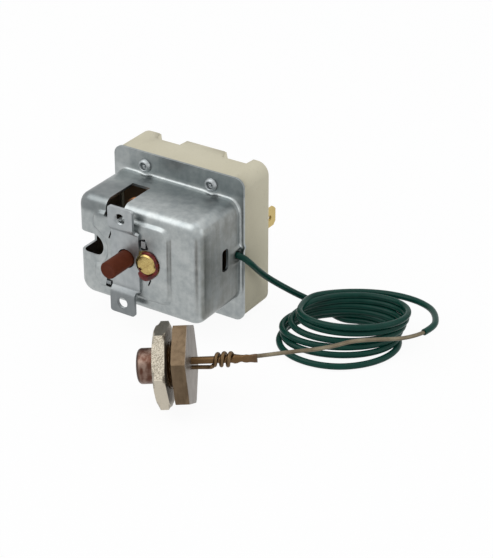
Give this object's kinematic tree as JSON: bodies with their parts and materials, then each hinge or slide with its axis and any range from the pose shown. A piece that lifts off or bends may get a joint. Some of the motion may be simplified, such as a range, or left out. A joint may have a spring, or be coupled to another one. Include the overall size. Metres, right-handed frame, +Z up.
{
  "type": "capillary thermostat",
  "caption": "Capillary safety thermostat: steel cup on a ceramic block, reset button, fixing ears, sleeved capillary in a coil and a screw-in sensor gland with its nut.",
  "frame": {"origin": "midway between the two ear holes, on the front faces of the ears", "axes": "+X to the right seen from the button, +Y from the button into the housing, +Z up from the lower ear to the upper ear"},
  "size_m": [0.1063, 0.088, 0.0476],
  "materials": {
    "zinc_steel": "satin",
    "capsule_steel": "satin",
    "button_plastic": "satin",
    "yellow_brass": "satin",
    "red_lacquer": "gloss",
    "silver": "satin",
    "beige_ceramic": "matte",
    "dark_moulding": "matte",
    "fibre_plate": "matte",
    "gland_bronze": "satin",
    "nut_steel": "matte",
    "brown_copper": "satin",
    "green_sleeve": "matte"
  },
  "bodies": {
    "housing": {"front_cover": "zinc_steel", "mounting_bracket": "zinc_steel", "inner_frame": "zinc_steel", "adjusting_screw": "yellow_brass", "screw_bush": "yellow_brass", "lacquer_seal": "red_lacquer", "diaphragm_capsule": "capsule_steel", "rocker_pin": "zinc_steel", "latch_spring": "zinc_steel", "contact_springs": "zinc_steel", "insulating_plate": "fibre_plate", "terminal_top_left": "yellow_brass", "terminal_top_right": "yellow_brass", "terminal_middle_left": "yellow_brass", "terminal_middle_right": "yellow_brass", "terminal_bottom_left": "yellow_brass", "terminal_bottom_right": "yellow_brass", "fixed_contacts": "silver", "ceramic_base": "beige_ceramic", "cover_rivets": "zinc_steel", "gland_body": "gland_bronze", "filler_tube": "brown_copper", "capillary_winding": "brown_copper", "capillary_stub": "brown_copper", "inner_capillary": "brown_copper", "sleeve_lead": "green_sleeve", "sleeve_tail": "green_sleeve", "bare_capillary": "brown_copper", "sleeve_coil": "green_sleeve"},
    "carrier": {"contact_carrier": "dark_moulding", "bridge_top": "yellow_brass", "bridge_middle": "yellow_brass", "bridge_bottom": "yellow_brass", "moving_contacts": "silver"},
    "push_pin": {"thrust_pin": "beige_ceramic"},
    "rocker": {"trip_rocker": "zinc_steel"},
    "button": {"reset_button": "button_plastic", "reset_pusher": "zinc_steel"},
    "nut": {"gland_nut": "nut_steel"}
  },
  "joints": [
    {"name": "contact_slide", "type": "slide", "parent": "housing", "child": "carrier", "axis": [0, 1, 0], "range_m": [0, 0.00117], "stiffness_N_per_m": 1200, "springref_m": -0.0005, "deforming": ["contact_springs"]},
    {"name": "pin_slide", "type": "slide", "parent": "housing", "child": "push_pin", "axis": [0, 1, 0], "range_m": [0, 0.0012]},
    {"name": "rocker_tilt", "type": "hinge", "parent": "housing", "child": "rocker", "pos_m": [0.001, 0.01465, 0], "axis": [0, 0, 1], "range_deg": [0, 9.6]},
    {"name": "reset_slide", "type": "slide", "parent": "housing", "child": "button", "axis": [0, -1, 0], "range_m": [0, 0.00143]},
    {"name": "nut_turn", "type": "hinge", "parent": "housing", "child": "nut", "pos_m": [0.03335, -0.02564, -0.0115], "axis": [0.8782, 0.4689, 0.0941], "continuous": true}
  ],
  "couplings": [
    {"joint": "pin_slide", "follows": "contact_slide", "ratio": 1},
    {"joint": "rocker_tilt", "follows": "contact_slide", "rad_per_m": 141.7},
    {"joint": "reset_slide", "follows": "contact_slide", "ratio": 1.2143}
  ]
}
